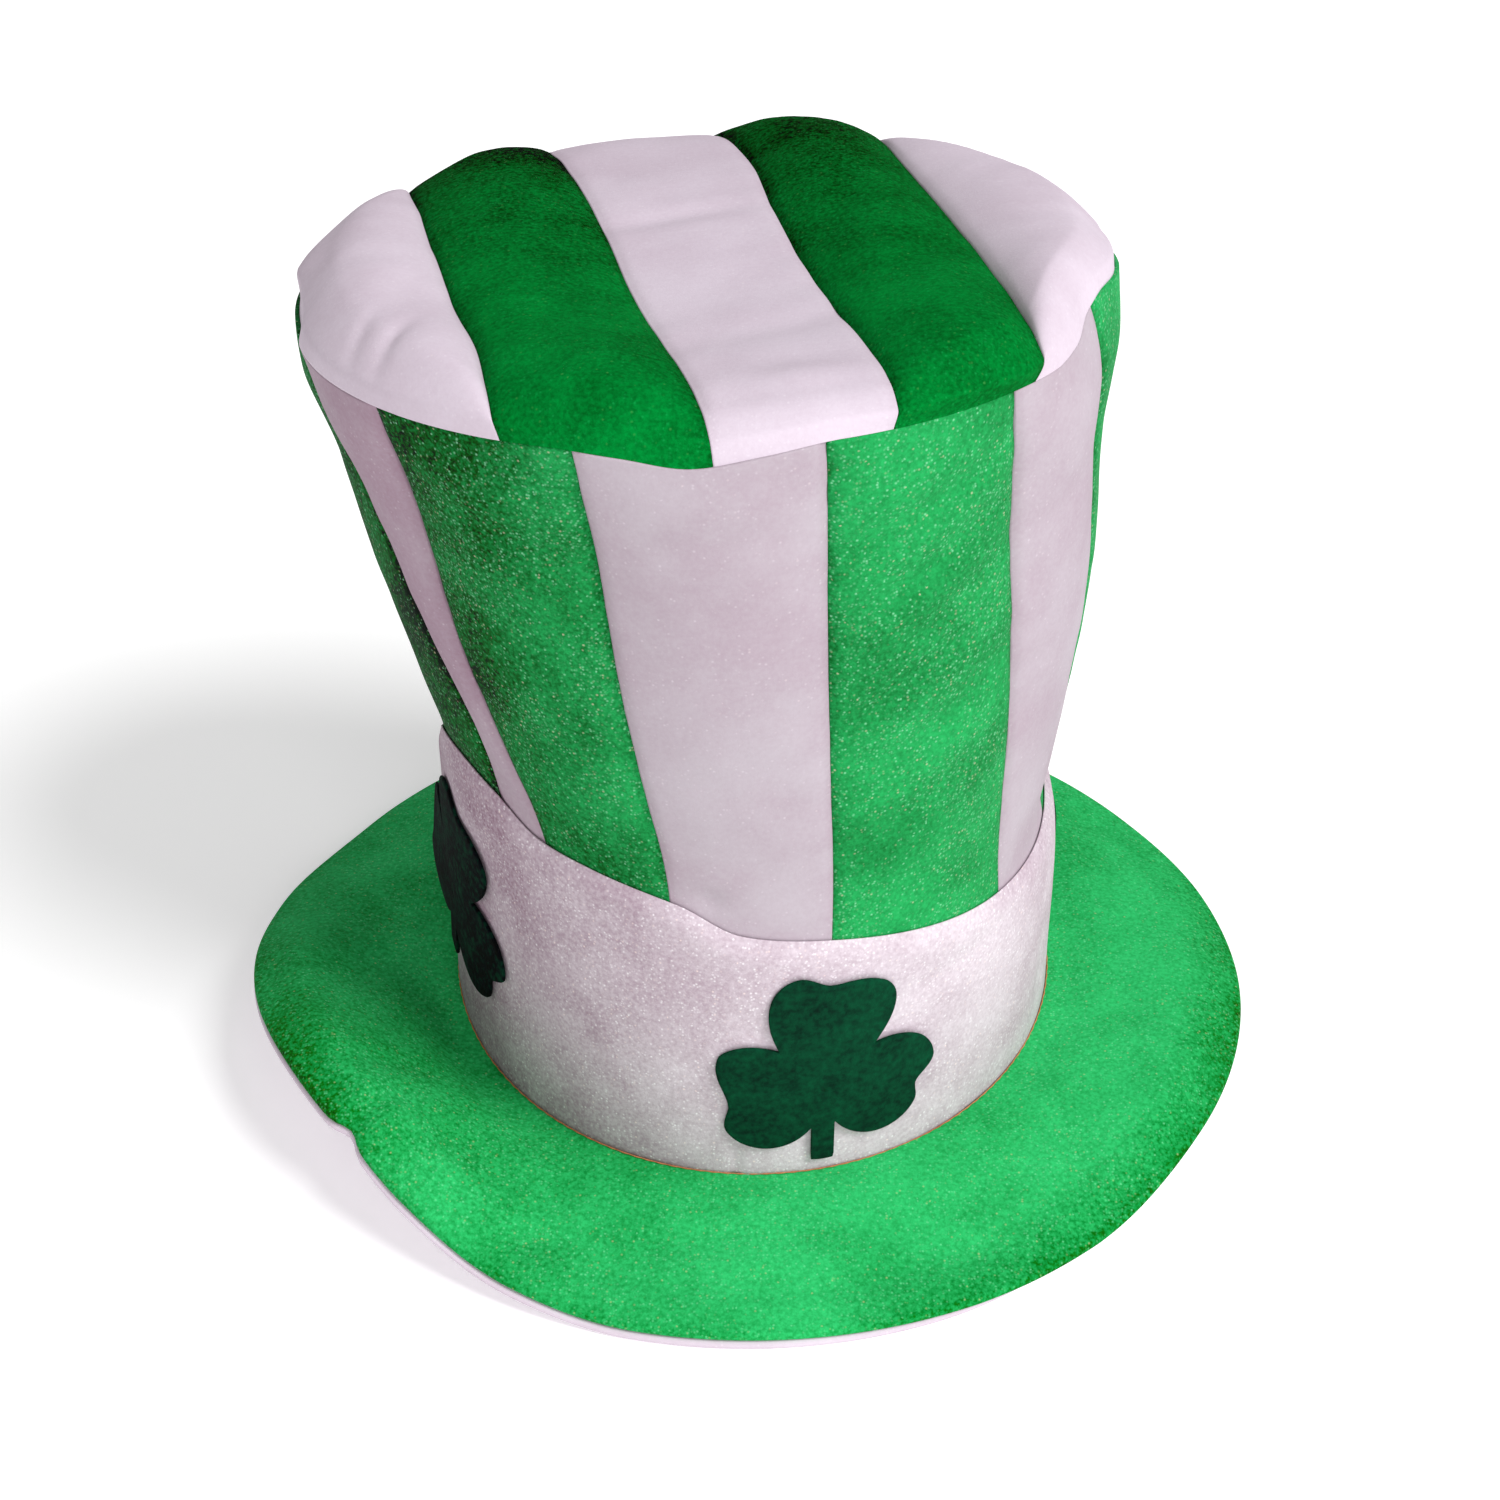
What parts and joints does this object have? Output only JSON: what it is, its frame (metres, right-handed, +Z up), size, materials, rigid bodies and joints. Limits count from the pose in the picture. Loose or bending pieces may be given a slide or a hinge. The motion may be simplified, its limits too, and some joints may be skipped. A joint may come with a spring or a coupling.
{
  "type": "leprechaun hat",
  "caption": "Soft costume top hat of striped velvet with a leaning flared crown, a round padded brim, a pale band and felt shamrocks, open below for a head.",
  "frame": {"origin": "centre of the hat's bounding box in plan, on the surface that the brim rests on", "axes": "+Z up through the crown, -Y toward the front of the hat, +X toward the hat's right as seen from the front"},
  "size_m": [0.309, 0.304, 0.2752],
  "materials": {
    "green_velvet": "short glittery velvet pile, soft sheen",
    "tip_green_velvet": "short velvet pile laid the other way, deeper and less glittery",
    "white_velvet": "short velvet pile, slightly lilac white",
    "band_velvet": "glittery velvet pile, lilac white",
    "green_felt": "matt craft felt"
  },
  "bodies": {
    "root": {"panel_back_left": "green_velvet", "panel_left_rear": "white_velvet", "panel_left": "green_velvet", "panel_left_front": "white_velvet", "panel_front_left": "green_velvet", "panel_front": "white_velvet", "panel_front_right": "green_velvet", "panel_right_front": "white_velvet", "panel_right": "green_velvet", "panel_right_rear": "white_velvet", "panel_back_right": "green_velvet", "panel_back": "white_velvet", "tip_left": "white_velvet", "tip_mid_left": "tip_green_velvet", "tip_middle": "white_velvet", "tip_mid_right": "tip_green_velvet", "tip_right": "white_velvet", "band": "band_velvet", "brim_top": "green_velvet", "brim_underside": "white_velvet", "shamrock_front": "green_felt", "shamrock_right": "green_felt", "shamrock_back": "green_felt", "shamrock_left": "green_felt"}
  },
  "joints": []
}
